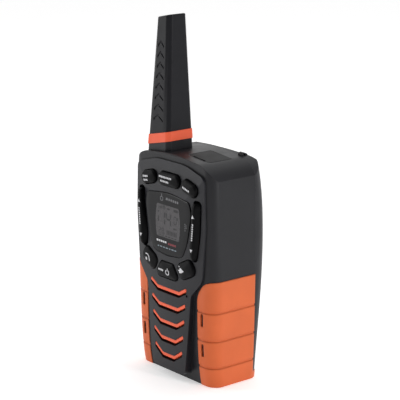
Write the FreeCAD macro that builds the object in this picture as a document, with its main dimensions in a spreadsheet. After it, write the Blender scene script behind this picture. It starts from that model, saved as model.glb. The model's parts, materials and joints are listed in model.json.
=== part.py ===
"""A hand-held two-way radio, as separate named pieces.

Millimetres. +X is to the right seen from the front, +Y to the back and +Z up. The origin lies on
the flat foot of the casing, under the middle of its width.
"""
import FreeCAD, Part
import math
import os

Vector = FreeCAD.Vector
doc = FreeCAD.newDocument("radio")

# ---------------------------------------------------------------- driving dimensions

SIZES = {
    # casing
    "body_top": 122.0, "wall": 2.6, "parting": 13.2, "seal": 0.6, "gap": 0.3,
    "corner_top": 14.0, "corner_foot": 4.0, "shoulder_front": 5.5, "shoulder_back": 9.0,
    # rubber grips
    "grip_front": 21.0, "grip_top": 58.5, "grip_deep": 1.4, "grip_proud": 0.3,
    "rib_wide": 1.3, "rib_deep": 0.12, "tab_low": 0.5, "slot_wide": 2.0, "slot_tall": 7.2,
    # raised face panel
    "face": 19.6, "face_radius": 210.0, "face_bow": 2.6, "face_back": 12.0,
    # display
    "window_thick": 1.4, "window_inset": 0.15, "lcd_wide": 22.0, "lcd_tall": 20.0, "lcd_mid": 85.4,
    "lcd_front": 17.7, "lcd_thick": 2.2, "lcd_frame_thick": 2.4,
    # keys
    "key_proud": 1.0, "key_back": 12.7, "key_flange": 1.0, "flange_wide": 0.5,
    "key_tall": 7.2, "low_key_tall": 9.0, "rocker_proud": 1.6, "rocker_play": 0.6,
    "rocker_mid": 84.2, "rocker_back": 13.4, "rocker_axis": 13.0,
    "membrane_front": 11.8, "membrane_thick": 1.0, "key_board_thick": 1.2,
    # loudspeaker and microphone
    "louvres": 5, "louvre_pitch": 8.9, "louvre_tall": 2.1, "louvre_gap": 1.3, "louvre_front": 19.4,
    "louvre_back": 15.2, "tip_wide": 14.9, "tip_step": 0.85, "bend_wide": 8.9, "bend_step": 1.05,
    "louvre_high": 52.8, "louvre_drop": 3.4, "drop_step": 0.3,
    "speaker_mid": 30.0, "speaker_radius": 18.0, "speaker_front": 12.2, "magnet_radius": 9.0,
    "mic_x": 15.2, "mic_z": 48.4, "mic_hole": 0.7, "mic_radius": 3.0,
    # boards
    "board_wide": 48.0, "board_low": 8.0, "board_high": 112.0, "board_front": 1.4,
    "board_thick": 1.4,
    # cells: AA size
    "cell_radius": 7.2, "cell_long": 49.2, "cell_nub": 1.3, "cell_pitch": 15.2, "cell_y": 9.8,
    "cell_low": 10.5, "spring_low": 7.0, "plate_thick": 0.5,
    "well_half": 24.0, "well_low": 6.4, "well_high": 61.8, "well_front": 2.4, "well_wall": 1.4,
    # battery door
    "door_half": 24.5, "door_low": 6.0, "door_high": 68.0, "door_thick": 2.0, "door_gap": 0.35,
    "latch_half": 7.0, "latch_tall": 7.0, "latch_travel": 2.5,
    # talk button
    "talk_low": 72.0, "talk_high": 104.0, "talk_front": 7.5, "talk_back": 5.5, "talk_proud": 1.0,
    "talk_inner": 29.0,
    # antenna
    "mast_x": 16.5, "mast_y": 4.3, "mast_wide": 19.0, "mast_deep": 18.4, "mast_tip_x": 13.7,
    "mast_tip_y": 5.2, "tip_wide_x": 11.3, "tip_deep": 12.6, "mast_low": 118.0, "mast_high": 191.2,
    "marks": 8, "mark_low": 136.0, "mark_pitch": 5.6, "mark_deep": 0.4,
    "mast_bevel": 2.0, "mast_corner": 1.0, "mast_slope": 12.5, "ring_low": 124.4,
    "ring_tall": 5.2, "ring_proud": 0.35, "core_radius": 2.5,
    # top flap
    "flap_left": 5.0, "flap_right": 22.5, "flap_front": 10.5, "flap_back": 5.5, "flap_thick": 1.8,
    # fasteners
    "screw_shank": 1.25, "screw_seat": 16.5, "boss": 3.2, "boss_front": 7.5,
}

# The casing's cross-section at seven heights: half width, front, back, and the radii of its front
# and back corners.
LEVELS = [
    (0.0, 31.4, 13.6, 18.6, 6.5, 8.5),
    (18.0, 32.0, 15.8, 19.8, 7.5, 8.8),
    (38.0, 32.3, 16.4, 21.6, 7.5, 9.0),
    (58.0, 32.6, 16.6, 22.8, 7.0, 9.0),
    (80.0, 32.7, 16.7, 23.2, 6.0, 9.0),
    (100.0, 32.5, 16.7, 22.4, 5.6, 9.0),
    (122.0, 31.5, 16.3, 19.0, 5.6, 9.0),
]
LEVEL_FIELDS = ("z", "half", "front", "back", "front_radius", "back_radius")

sheet = doc.addObject("Spreadsheet::Sheet", "Sizes")


def fill_sheet():
    """Write every driving dimension to the sheet, one row each, under its own alias."""
    cells = dict(SIZES)
    for number, level in enumerate(LEVELS):
        for field, value in zip(LEVEL_FIELDS, level):
            cells["level%d_%s" % (number, field)] = value
    for row, (alias, value) in enumerate(cells.items(), 1):
        sheet.set("A%d" % row, alias)
        sheet.set("B%d" % row, str(value))
        sheet.setAlias("B%d" % row, alias)
    doc.recompute()


fill_sheet()


def size(alias):
    return float(sheet.get(alias))


# ---------------------------------------------------------------- outlines and sketches


def shrink(outline, inset):
    """Move each side of a counter-clockwise outline of (a, b, radius) inwards by inset."""
    moved = []
    count = len(outline)
    for i in range(count):
        before = Vector(*outline[i - 1][:2], 0)
        here = Vector(*outline[i][:2], 0)
        after = Vector(*outline[(i + 1) % count][:2], 0)
        into = (here - before).normalize()
        out = (after - here).normalize()
        inward_in = Vector(-into.y, into.x, 0)
        inward_out = Vector(-out.y, out.x, 0)
        shift = (inward_in + inward_out) * (inset / (1 + inward_in.dot(inward_out)))
        turn = into.x * out.y - into.y * out.x
        radius = outline[i][2]
        if radius > 0:
            radius = max(radius - inset if turn > 0 else radius + inset, 0.05)
        moved.append((here.x + shift.x, here.y + shift.y, radius))
    return moved


def turned(outline, degrees, middle):
    """Turn an outline about a point, then carry its own origin there."""
    c = math.cos(math.radians(degrees))
    s = math.sin(math.radians(degrees))
    return [(middle[0] + a * c - b * s, middle[1] + a * s + b * c, r) for a, b, r in outline]


def oblong(wide, tall, radius):
    """A rounded rectangle about its own middle."""
    a, b = wide / 2, tall / 2
    return [(-a, -b, radius), (a, -b, radius), (a, b, radius), (-a, b, radius)]


def mirrored(outline):
    """The same outline on the other side of the middle, still counter-clockwise."""
    return [(-a, b, r) for a, b, r in reversed(outline)]


def edges(outline):
    """Lines joined by tangent arcs through the corners of an outline."""
    count = len(outline)
    starts, ends, arcs = [], [], []
    for i in range(count):
        here = Vector(*outline[i][:2], 0)
        to_before = (Vector(*outline[i - 1][:2], 0) - here).normalize()
        to_after = (Vector(*outline[(i + 1) % count][:2], 0) - here).normalize()
        radius = outline[i][2]
        if radius <= 0:
            starts.append(here)
            ends.append(here)
            arcs.append(None)
            continue
        half = to_before.getAngle(to_after) / 2
        reach = radius / math.tan(half)
        bisector = (to_before + to_after).normalize()
        middle = here + bisector * (radius / math.sin(half) - radius)
        first, last = here + to_before * reach, here + to_after * reach
        starts.append(first)
        ends.append(last)
        arcs.append(Part.Arc(first, middle, last))
    shapes = []
    for i in range(count):
        if arcs[i]:
            shapes.append(arcs[i])
        shapes.append(Part.LineSegment(ends[i], starts[(i + 1) % count]))
    return shapes


def origin_plane(body, role):
    return next(f for f in body.Origin.OriginFeatures if f.Role == role)


def sketch(body, role, offset, shapes):
    """A sketch on one of the body's own planes, offset along the plane's normal."""
    drawing = body.newObject("Sketcher::SketchObject", "outline")
    drawing.AttachmentSupport = [(origin_plane(body, role), "")]
    drawing.MapMode = "FlatFace"
    drawing.AttachmentOffset = FreeCAD.Placement(Vector(0, 0, offset), FreeCAD.Rotation())
    for shape in shapes:
        drawing.addGeometry(shape, False)
    return drawing


def prism(name, role, offset, outline, length):
    """A body padded from one outline. length is an expression, so it follows the sheet."""
    body = doc.addObject("PartDesign::Body", name)
    drawing = sketch(body, role, offset, edges(outline))
    pad = body.newObject("PartDesign::Pad", "pad")
    pad.Profile = drawing
    pad.setExpression("Length", length)
    return body


def front_prism(name, outline, back, length):
    """A prism drawn in the front view, from y = -back towards the front."""
    return prism(name, "XZ_Plane", back, outline, length)


def side_prism(name, outline, half):
    """A prism drawn in the side view, from x = -half to +half."""
    return prism(name, "YZ_Plane", -half, outline, "%g mm" % (2 * half))


def plan_prism(name, outline, low, length):
    return prism(name, "XY_Plane", low, outline, length)


def block(name, low, high):
    """A box between two corners, each coordinate an expression."""
    box = doc.addObject("Part::Box", name)
    for axis, edge_name, a, b in zip("xyz", ("Length", "Width", "Height"), low, high):
        box.setExpression("Placement.Base.%s" % axis, a)
        box.setExpression(edge_name, "(%s) - (%s)" % (b, a))
    return box


def rod(name, middle, direction, radius, length):
    """A cylinder from middle along direction. radius and length are expressions."""
    cylinder = doc.addObject("Part::Cylinder", name)
    cylinder.setExpression("Radius", radius)
    cylinder.setExpression("Height", length)
    turn = FreeCAD.Rotation(Vector(0, 0, 1), Vector(*direction))
    cylinder.Placement = FreeCAD.Placement(Vector(*middle), turn)
    return cylinder


def fuse(name, *pieces):
    joined = doc.addObject("Part::MultiFuse", name)
    joined.Shapes = list(pieces)
    joined.Refine = True
    return joined


def cut(name, base, tool):
    rest = doc.addObject("Part::Cut", name)
    rest.Base = base
    rest.Tool = tool
    rest.Refine = True
    return rest


def common(name, *pieces):
    """What all the pieces share, found two at a time."""
    shared = pieces[0]
    for piece in pieces[1:]:
        overlap = doc.addObject("Part::Common", name)
        overlap.Base = shared
        overlap.Tool = piece
        shared = overlap
    return shared


def group(name, *pieces):
    """Separate solids that share one node."""
    together = doc.addObject("Part::Compound", name)
    together.Links = list(pieces)
    return together


PARTS = []


def finish(label, piece):
    """Give a finished piece its name and put it on the list of pieces."""
    piece.Label = label
    PARTS.append(piece)
    return piece


# ---------------------------------------------------------------- casing form


def level_outline(number, inset):
    field = {name: size("level%d_%s" % (number, name)) for name in LEVEL_FIELDS}
    half, front, back = field["half"], -field["front"], field["back"]
    front_radius, back_radius = field["front_radius"], field["back_radius"]
    outline = [(-half, front, front_radius), (half, front, front_radius),
               (half, back, back_radius), (-half, back, back_radius)]
    return shrink(outline, inset)


def front_view(inset):
    """Front view of the casing: straight foot, slightly arched top, round upper corners."""
    top = size("body_top")
    half = size("level4_half") + 1
    foot, corner = size("corner_foot"), size("corner_top")
    outline = [(-half, 0, foot), (half, 0, foot), (half - 0.4, top - 3.2, corner),
               (0, top, 120), (0.4 - half, top - 3.2, corner)]
    return shrink(outline, inset)


def side_view(inset):
    """Side view of the casing: the round shoulders at the front and the back of the top."""
    top = size("body_top")
    outline = [(-30, 0, 0), (30, 0, 0), (30, 30, 0), (size("level5_back") + 0.4, 90, 0),
               (size("level6_back") + 1.2, top, size("shoulder_back")),
               (-size("level6_front") - 0.3, top, size("shoulder_front")), (-30, 90, 0)]
    return shrink(outline, inset)


def casing_form(name, inset):
    """The casing as a solid, every surface moved inwards by inset."""
    body = doc.addObject("PartDesign::Body", name + "_sections")
    sections = []
    for number in range(len(LEVELS)):
        outline = level_outline(number, inset)
        sections.append(sketch(body, "XY_Plane", size("level%d_z" % number), edges(outline)))
    loft = body.newObject("PartDesign::AdditiveLoft", "loft")
    loft.Profile = sections[0]
    loft.Sections = sections[1:]
    across = front_prism(name + "_front_view", front_view(inset), -40, "80 mm")
    along = side_prism(name + "_side_view", side_view(inset), 40)
    return common(name, body, across, along)


OUTER = casing_form("outer", 0)
INNER = casing_form("inner", size("wall"))
GRIP_SKIN = casing_form("grip_skin", -size("grip_proud"))
GRIP_BED = casing_form("grip_bed", size("grip_deep"))
RIB_BED = casing_form("rib_bed", size("rib_deep"))


# ---------------------------------------------------------------- outlines of the face


def panel_outline():
    """The raised face panel: wide round the display, waisted over the loudspeaker."""
    right = [(0, 3.7, 0), (13.6, 3.7, 3.5), (16.4, 30, 300), (18.2, 49, 6), (26.3, 58.2, 9),
             (28.6, 87, 60), (27.6, 113.6, 4.5), (12, 117.8, 30)]
    return right + [(-a, b, r) for a, b, r in reversed(right)][:-1]


def window_outline():
    """The display window: an arched top above sides that close in downwards."""
    right = [(0, 66.9, 30), (12.0, 68.2, 4.5), (15.9, 76.5, 30), (19.4, 93.5, 12), (17.4, 99.4, 2.5)]
    return right + [(0, 101.9, 60)] + [(-a, b, r) for a, b, r in reversed(right)][:-1]


def rocker_outline():
    """The rocker to the right of the window follows the window's edge."""
    return [(18.6, 69.6, 1.6), (22.4, 67.8, 1.8), (25.0, 84, 50), (25.6, 100.5, 2.0),
            (20.8, 100.9, 1.5), (21.0, 93.5, 12), (17.9, 76.5, 12)]


def power_outline():
    """The middle key of the lower row narrows upwards between its slanted neighbours."""
    half_tall = size("low_key_tall") / 2
    right = [(8.0, -half_tall, 2.8), (9.0, -1.6, 2.0), (5.2, half_tall, 2.4)]
    return right + [(-a, b, r) for a, b, r in reversed(right)]


KEYS = {
    "memory_button": (oblong(12.4, size("key_tall"), 3.4), 15, (-16.3, 107.0)),
    "range_button": (oblong(17.6, size("key_tall"), 3.4), 0, (0.6, 108.3)),
    "scan_button": (oblong(12.4, size("key_tall"), 3.4), -15, (17.3, 106.8)),
    "call_button": (oblong(13.0, size("low_key_tall"), 3.6), -27, (-15.4, 63.0)),
    "power_button": (power_outline(), 0, (-0.3, 59.1)),
    "replay_button": (oblong(13.0, size("low_key_tall"), 3.6), 27, (15.0, 62.8)),
}
KEY_OUTLINES = {label: turned(*how) for label, how in KEYS.items()}
ROCKER_OUTLINES = {"channel_rocker": rocker_outline(), "volume_rocker": mirrored(rocker_outline())}


def trough(step, low_by):
    """A louvre's outline: two slanted arms and a level middle, low_by millimetres deep."""
    tip = size("tip_wide") - step * size("tip_step")
    bend = size("bend_wide") - step * size("bend_step")
    high = size("louvre_high") - step * size("louvre_pitch")
    low = high - size("louvre_drop") - step * size("drop_step")
    corner = 0.6
    return [(-tip, high - low_by, corner), (-bend, low - low_by, corner), (bend, low - low_by, corner),
            (tip, high - low_by, corner), (tip, high, corner), (bend, low, corner),
            (-bend, low, corner), (-tip, high, corner)]


def grille_mouth():
    """The opening of the front wall behind the louvres."""
    return [(-12.6, 7.0, 1), (12.6, 7.0, 1), (16.3, 46, 8), (16.3, 53.5, 1), (-16.3, 53.5, 1),
            (-16.3, 46, 8)]


LOUVRE_STEPS = range(int(size("louvres")))


# ---------------------------------------------------------------- face panel, window and keys


def face_form():
    """The face panel's solid: flat over the loudspeaker, bowed across and rolled in at the top."""
    face, radius = size("face"), size("face_radius")
    barrel = doc.addObject("Part::Cylinder", "face_barrel")
    barrel.setExpression("Radius", "Sizes.face_radius")
    barrel.Height = size("body_top")
    barrel.Placement.Base = Vector(0, radius - face, 0)
    back = -size("face_back")
    roll = [(-face, 1, 0), (back, 1, 0), (back, 121, 0), (size("face_bow") - face, 121, 0),
            (-face, 96, 40)]
    side = side_prism("face_side_view", roll, 40)
    panel = front_prism("face_outline", panel_outline(), size("face_back"), "Sizes.face")
    return cut("face_over_casing", common("face_blank", panel, barrel, side), OUTER)


def openings_in_face():
    """Everything that passes through the face panel."""
    gap, play = size("gap"), size("rocker_play")
    ledge = size("face") - size("window_thick") - 0.2
    tools = [front_prism("window_seat", window_outline(), ledge, "Sizes.face"),
             front_prism("window_hole", shrink(window_outline(), 1.5), size("face_back"), "Sizes.face")]
    for label, outline in KEY_OUTLINES.items():
        tools.append(front_prism(label + "_hole", shrink(outline, -gap), 10, "Sizes.face"))
    for label, outline in ROCKER_OUTLINES.items():
        tools.append(front_prism(label + "_hole", shrink(outline, -play), 10, "Sizes.face"))
    for step in LOUVRE_STEPS:
        outline = trough(step, size("louvre_tall") + size("louvre_gap"))
        tools.append(front_prism("louvre_hole%d" % step, outline, 10, "Sizes.face"))
    pocket = front_prism("grille_pocket", grille_mouth(), 10, "6.8 mm")
    tools.append(pocket)
    tools.append(rod("mic_hole", (size("mic_x"), -10, size("mic_z")), (0, -1, 0),
                     "Sizes.mic_hole", "Sizes.face"))
    return tools


def make_face():
    holes = fuse("face_holes", *openings_in_face())
    finish("front_bezel", cut("bezel_cut", face_form(), holes))


def make_display():
    """The window, the display behind it and the frame that holds the display."""
    pane = shrink(window_outline(), size("window_inset"))
    back = size("face") - size("window_thick") - 0.1
    finish("display_window", front_prism("window_pane", pane, back, "Sizes.window_thick"))
    for label, front, thick in (("lcd_module", "Sizes.lcd_front", "Sizes.lcd_thick"),
                                ("lcd_frame", "(Sizes.lcd_front - Sizes.lcd_thick)",
                                 "Sizes.lcd_frame_thick")):
        low = ("-Sizes.lcd_wide / 2", "-%s" % front, "Sizes.lcd_mid - Sizes.lcd_tall / 2")
        high = ("Sizes.lcd_wide / 2", "-%s + %s" % (front, thick),
                "Sizes.lcd_mid + Sizes.lcd_tall / 2")
        finish(label, block(label + "_block", low, high))


def make_keys():
    """Six push buttons, each with a flange behind the casing wall that keeps it in."""
    back = size("key_back")
    for label, outline in KEY_OUTLINES.items():
        stem = front_prism(label + "_stem", outline, back,
                           "Sizes.face + Sizes.key_proud - Sizes.key_back")
        flange = front_prism(label + "_flange", shrink(outline, -size("flange_wide")), back,
                             "Sizes.key_flange")
        finish(label, fuse(label + "_whole", crowned(stem), flange))


def crowned(stem):
    """Round a button's front rim."""
    doc.recompute()
    front = stem.Shape.BoundBox.YMin
    rim = [n for n, e in enumerate(stem.Shape.Edges, 1) if e.BoundBox.YMax < front + 0.01]
    rounded = doc.addObject("Part::Fillet", stem.Name + "_rounded")
    rounded.Base = stem
    rounded.Edges = [(number, 0.8, 0.8) for number in rim]
    return rounded


def make_rockers():
    """Each rocker tips about a stub pivot at its middle, behind the casing wall."""
    for label, outline in ROCKER_OUTLINES.items():
        pad = front_prism(label + "_pad", outline, size("rocker_back"),
                          "Sizes.face + Sizes.rocker_proud - Sizes.rocker_back")
        side = 1 if label == "channel_rocker" else -1
        pivot = rod(label + "_pivot", (side * 16.2, -size("rocker_axis"), size("rocker_mid")),
                    (side, 0, 0), "0.8", "7")
        finish(label, fuse(label + "_whole", crowned(pad), pivot))


def make_membrane():
    """The rubber key mat and the board it presses against."""
    outline = [(-26, 54, 3), (26, 54, 3), (27, 84, 50), (25.5, 112.5, 4), (-25.5, 112.5, 4),
               (-27, 84, 50)]
    display = [(-12, 74, 1), (12, 74, 1), (12, 97, 1), (-12, 97, 1)]
    front = size("membrane_front")
    back = front - size("membrane_thick")
    mat = front_prism("mat_sheet", outline, back, "Sizes.membrane_thick")
    hole = front_prism("mat_hole", display, back - 1, "Sizes.membrane_thick + 2")
    finish("keypad_membrane", cut("mat_cut", mat, hole))
    board_back = back - size("key_board_thick")
    finish("keypad_board", front_prism("key_board", outline, board_back, "Sizes.key_board_thick"))


# ---------------------------------------------------------------- loudspeaker and microphone


def make_grille():
    """Five orange louvres moulded on two upright straps, with a cloth behind them."""
    bars = []
    length = "Sizes.louvre_front - Sizes.louvre_back"
    for step in LOUVRE_STEPS:
        bars.append(front_prism("louvre%d" % step, shrink(trough(step, size("louvre_tall")), 0.12),
                                size("louvre_back"), length))
    for side in (-1, 1):
        middle = side * 3.4
        strap = oblong_about(middle, 28.8, 2, 41.6)
        bars.append(front_prism("strap%d" % (side + 1), strap, size("louvre_back"), "1 mm"))
    finish("grille_louvres", fuse("louvres_joined", *bars))
    finish("speaker_cloth", front_prism("cloth_sheet", shrink(grille_mouth(), 0.3),
                                        size("louvre_back") - 0.8, "0.6 mm"))


def make_speaker():
    """A round loudspeaker facing the louvres: basket, cone and magnet."""
    radius, front, middle = size("speaker_radius"), size("speaker_front"), size("speaker_mid")
    magnet = size("magnet_radius")

    def turned_piece(name, half_section):
        body = doc.addObject("PartDesign::Body", name)
        closed = list(zip(half_section, half_section[1:] + half_section[:1]))
        lines = [Part.LineSegment(Vector(*a, 0), Vector(*b, 0)) for a, b in closed]
        drawing = sketch(body, "XY_Plane", 0, lines)
        spin = body.newObject("PartDesign::Revolution", "spin")
        spin.Profile = drawing
        spin.ReferenceAxis = (drawing, ["V_Axis"])
        body.Placement.Base = Vector(0, 0, middle)
        return body

    basket = [(magnet, -6.6), (magnet, -5.4), (radius - 2, -front + 1.2), (radius - 2, -front),
              (radius, -front), (radius, -front + 2), (magnet + 2, -4.6), (magnet + 2, -4.0), (4, -4.0),
              (4, -5.2), (magnet - 1.5, -5.2), (magnet - 1.5, -6.6)]
    finish("speaker_frame", turned_piece("speaker_basket", basket))
    cone = [(0, -8.4), (5, -8.4), (radius - 2.6, -front + 0.1), (radius - 2.6, -front + 0.6),
            (5, -7.8), (0, -7.8)]
    finish("speaker_cone", turned_piece("speaker_dish", cone))
    pot = rod("magnet_pot", (0, -4.0, middle), (0, 1, 0), "Sizes.magnet_radius", "2.2")
    finish("speaker_magnet", pot)


def make_microphone():
    x, z = size("mic_x"), size("mic_z")
    boot = rod("boot_outer", (x, -13.6, z), (0, 1, 0), "Sizes.mic_radius + 1.2", "3.6")
    bore = rod("boot_bore", (x, -13.0, z), (0, 1, 0), "Sizes.mic_radius", "3.2")
    port = rod("boot_port", (x, -13.8, z), (0, 1, 0), "Sizes.mic_hole", "1.0")
    finish("mic_boot", cut("boot_cut", boot, fuse("boot_holes", bore, port)))
    finish("microphone", rod("mic_can", (x, -13.0, z), (0, 1, 0), "Sizes.mic_radius", "2.6"))


# ---------------------------------------------------------------- casing halves and grips


def behind(name, depth, length="80 mm"):
    """Everything behind the plane y = depth."""
    return front_prism(name, oblong_about(0, 60, 90, 150), -depth - 80, length)


def oblong_about(a, b, wide, tall):
    return [(x + a, z + b, r) for x, z, r in oblong(wide, tall, 0)]


def grip_outline(side, gap=0.0):
    """A grip seen from the front: its inner edge swings out round the foot of the face panel."""
    edge, top = size("grip_front"), size("grip_top")
    right = [(edge, -2, 0), (50, -2, 0), (50, top, 0), (27.6, top, 9), (edge, 50.5, 12)]
    outline = shrink(right, gap)
    return outline if side > 0 else mirrored(outline)


def grip_side_view(gap=0.0):
    """A grip from the side: it stops at the rear casing, but wraps round its foot."""
    back = size("parting")
    outline = [(-40, -2, 0), (19.5, -2, 0), (17.5, 3.6, 1.5), (back, 3.9, 1), (back, 70, 0),
               (-40, 70, 0)]
    return shrink(outline, gap)


def grip_region(name, side, gap=0.0):
    across = front_prism(name + "_across", grip_outline(side, gap), -40, "80 mm")
    along = side_prism(name + "_along", grip_side_view(gap), 50)
    return common(name + "_region", across, along)


def slot_outline(side, low, inset=0.0):
    middle = side * (size("grip_front") + 3.6)
    half, tall = size("slot_wide") / 2, size("slot_tall")
    return shrink([(middle - half, low, 0.9), (middle + half, low, 0.9),
                   (middle + half, low + tall, 0.9), (middle - half, low + tall, 0.9)], inset)


SLOT_LEVELS = (16.8, 33.4)


def slot_tabs():
    """Tabs of the front half that show in the slots of the grips."""
    skin = casing_form("tab_skin", size("tab_low"))
    core = casing_form("tab_core", size("grip_deep") + 0.6)
    tabs = []
    for side in (-1, 1):
        for low in SLOT_LEVELS:
            name = "tab%d_%d" % (side + 1, low)
            stud = front_prism(name, slot_outline(side, low, 0.12), 0, "30 mm")
            tabs.append(cut(name + "_cut", common(name + "_skin", stud, skin), core))
    return tabs


def make_grip(label, side):
    """An orange rubber grip let into the casing, ribbed, with two slots near its front corner."""
    blank = common(label + "_blank", GRIP_SKIN, grip_region(label, side, 0.1))
    skin = cut(label + "_skin", blank, GRIP_BED)
    flat = plan_prism(label + "_floor", oblong_about(0, 0, 90, 60), -5, "5 mm")
    tools = [flat]
    for low in SLOT_LEVELS:
        tools.append(front_prism("%s_slot%d" % (label, low), slot_outline(side, low), 0, "30 mm"))
    for rib_low in (10.5, 25.5, 41.0):
        band = plan_prism("%s_band%d" % (label, rib_low), oblong_about(0, 0, 90, 60), rib_low,
                          "Sizes.rib_wide")
        tools.append(cut("%s_rib%d" % (label, rib_low), band, RIB_BED))
    finish(label, cut(label + "_cut", skin, fuse(label + "_tools", *tools)))


def make_casing():
    """The front and rear halves, hollow, let in for the grips and opened for the keys."""
    beds = [cut("bed%d" % n, grip_region("bed%d" % n, side), GRIP_BED) for n, side in enumerate((-1, 1))]
    shell = cut("shell", OUTER, fuse("hollow", INNER, *beds))
    rear_half = behind("rear_half", size("parting"))
    front = cut("front_half", shell, rear_half)
    rear = common("rear_blank", shell, rear_half)
    groove = seal_ring("seal_groove")
    holes = fuse("front_case_holes", groove, *front_openings(), *screw_holes("front"))
    posts = bosses("front", size("boss_front")) + board_posts() + slot_tabs()
    finish("front_case", cut("front_case_cut", fuse("front_bossed", front, *posts), holes))
    finish("case_seal", seal_ring("seal"))
    well = cut("well", well_block("well_out", "Sizes.well_wall"), well_block("well_in", "0"))
    well = common("well_in_case", cut("well_behind", well, room_in_front()),
                  casing_form("well_bed", size("door_thick") + 0.3))
    rear = fuse("rear_lined", cut("rear_open", rear, door_opening()), well,
                *bosses("rear", size("parting"), rear=True))
    finish("rear_case", cut("rear_case_cut", rear, fuse("rear_holes", *screw_holes("rear"))))


def board_posts():
    """Posts from the front wall that carry the main board."""
    length = "20 - Sizes.board_front - Sizes.board_thick"
    studs = [rod("board_stud%d" % n, (x, -20, z), (0, 1, 0), "2.4", length)
             for n, (x, z) in enumerate(BOARD_SCREWS)]
    return [common("board_post%d" % n, stud, GRIP_BED) for n, stud in enumerate(studs)]


def room_in_front():
    """Nothing of the well reaches below the front half's floor."""
    return block("front_floor", ("-40", "-20", "-5"), ("40", "Sizes.parting", "Sizes.wall"))


def seal_ring(name):
    """A rubber cord in a groove of the front half, all round the parting plane."""
    ring = cut(name + "_ring", casing_form(name + "_out", size("grip_deep") + 0.2),
               casing_form(name + "_in", size("grip_deep") + 0.8))
    return common(name, ring, front_prism(name + "_slab", oblong_about(0, 60, 90, 150),
                                          -size("parting"), "Sizes.seal"))


def bosses(name, start, rear=False):
    """Screw posts against the side walls, in the front half or in the rear half."""
    posts = []
    for n, (x, z) in enumerate(CASE_SCREWS):
        length = "7.5" if rear else "Sizes.parting - %g" % start
        post = rod("%s_post%d" % (name, n), (x, start, z), (0, 1, 0), "Sizes.boss", length)
        posts.append(common("%s_boss%d" % (name, n), post, OUTER))
    return posts


def front_openings():
    """Holes through the front wall, the left side and the top."""
    gap = size("gap") + 0.1
    tools = [front_prism("case_grille", grille_mouth(), 0, "30 mm"),
             front_prism("case_display", oblong_about(0, size("lcd_mid"), 22.6, 20.6), 0, "30 mm")]
    for label, outline in KEY_OUTLINES.items():
        tools.append(front_prism("case_" + label, shrink(outline, -gap), 0, "30 mm"))
    for label, outline in ROCKER_OUTLINES.items():
        tools.append(front_prism("case_" + label, shrink(outline, -size("rocker_play")), 0, "30 mm"))
    tools.append(side_hole("case_talk", talk_outline(-gap)))
    tools.append(plan_prism("case_flap", flap_outline(0.0), size("body_top") - 8, "20 mm"))
    mast_foot = oblong_at(-size("mast_x"), -size("mast_y"), 12, 12, 2)
    tools.append(plan_prism("case_mast", mast_foot, 110, "20 mm"))
    return tools


def oblong_at(x, y, wide, deep, radius):
    return [(a + x, b + y, r) for a, b, r in oblong(wide, deep, radius)]


def side_hole(name, outline):
    """A hole through the left wall only."""
    return prism(name, "YZ_Plane", -40, outline, "25 mm")


def well_block(name, grow):
    """The battery well, its walls grown outwards by an expression."""
    low = ("-Sizes.well_half - %s" % grow, "Sizes.well_front - %s" % grow, "Sizes.well_low - %s" % grow)
    high = ("Sizes.well_half + %s" % grow, "30", "Sizes.well_high + %s" % grow)
    return block(name, low, high)


def door_outline(gap=0.0):
    half, low, high = size("door_half"), size("door_low"), size("door_high")
    outline = [(-half, low, 4), (half, low, 4), (half, high, 4), (-half, high, 4)]
    return shrink(outline, gap)


def door_opening():
    """The door's recess in the back and the mouth of the well inside it."""
    return front_prism("door_hole", door_outline(), -40, "26 mm")


def make_door():
    """The battery door follows the back of the casing and swings on its lower edge."""
    blank = front_prism("door_blank", door_outline(size("door_gap")), -40, "26 mm")
    outer = common("door_outer", OUTER, blank)
    skin = cut("door_skin", outer, casing_form("door_bed", size("door_thick")))
    latch_hole = front_prism("latch_hole", latch_outline(-0.3, size("latch_travel")), -40, "26 mm")
    finish("battery_door", cut("door_cut", skin, latch_hole))
    latch = front_prism("latch_blank", latch_outline(), -40, "26 mm")
    plate = common("latch_plate", casing_form("latch_skin", -0.8), latch)
    finish("door_latch", cut("latch_cut", plate, casing_form("latch_bed", 1.8)))


def latch_outline(inset=0.0, travel=0.0):
    """The thumb latch, or with a negative inset and a travel the slot that it slides down in."""
    half, high = size("latch_half"), size("door_high") - 4.5
    low = high - size("latch_tall") - travel
    return shrink([(-half, low, 2), (half, low, 2), (half, high, 2), (-half, high, 2)], inset)


# ---------------------------------------------------------------- talk button


def talk_outline(gap=0.0):
    outline = [(-size("talk_front"), size("talk_low"), 5), (size("talk_back"), size("talk_low"), 5),
               (size("talk_back"), size("talk_high"), 5), (-size("talk_front"), size("talk_high"), 5)]
    return shrink(outline, gap)


def make_talk():
    """The push-to-talk bar in the left side and the switch it presses."""
    skin = casing_form("talk_skin", -size("talk_proud"))
    bar = common("talk_bar", skin, side_hole("talk_bar_blank", talk_outline()))
    inner = prism("talk_core", "YZ_Plane", -size("talk_inner"), talk_outline(), "20 mm")
    flange = prism("talk_flange", "YZ_Plane", -size("talk_inner"), talk_outline(-1.2), "1 mm")
    stem = cut("talk_stem", bar, inner)
    finish("talk_button", fuse("talk_whole", stem, flange))
    low = ("-27.0", "-5", "84.5")
    high = ("-Sizes.board_wide / 2", "1", "91.5")
    finish("talk_switch", block("talk_switch_block", low, high))


# ---------------------------------------------------------------- antenna


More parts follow.
